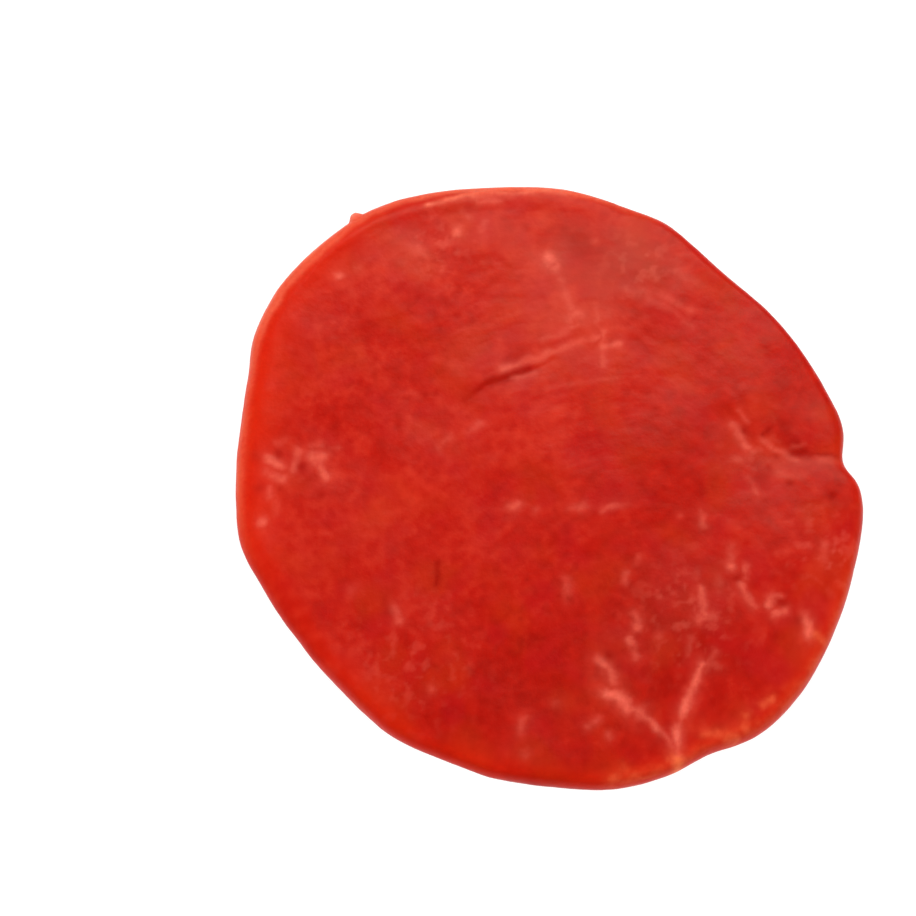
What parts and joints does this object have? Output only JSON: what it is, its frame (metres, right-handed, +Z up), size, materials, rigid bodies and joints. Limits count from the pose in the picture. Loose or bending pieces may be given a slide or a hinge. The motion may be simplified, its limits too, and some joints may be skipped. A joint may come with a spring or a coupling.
{
  "type": "thin-cut beef steak",
  "caption": "Single thin-cut slice of lean raw beef with an uneven rounded outline, seams and a thin rim of membrane, lying flat.",
  "frame": {"origin": "on the table under the middle of the slice's box, at the flat underside", "axes": "+Z up through the thickness, +X to the right towards the notched side, +Y to the back"},
  "size_m": [0.124, 0.128, 0.0058],
  "materials": {
    "raw_beef": "moist, soft sheen"
  },
  "bodies": {
    "root": {"steak": "raw_beef"}
  },
  "joints": []
}
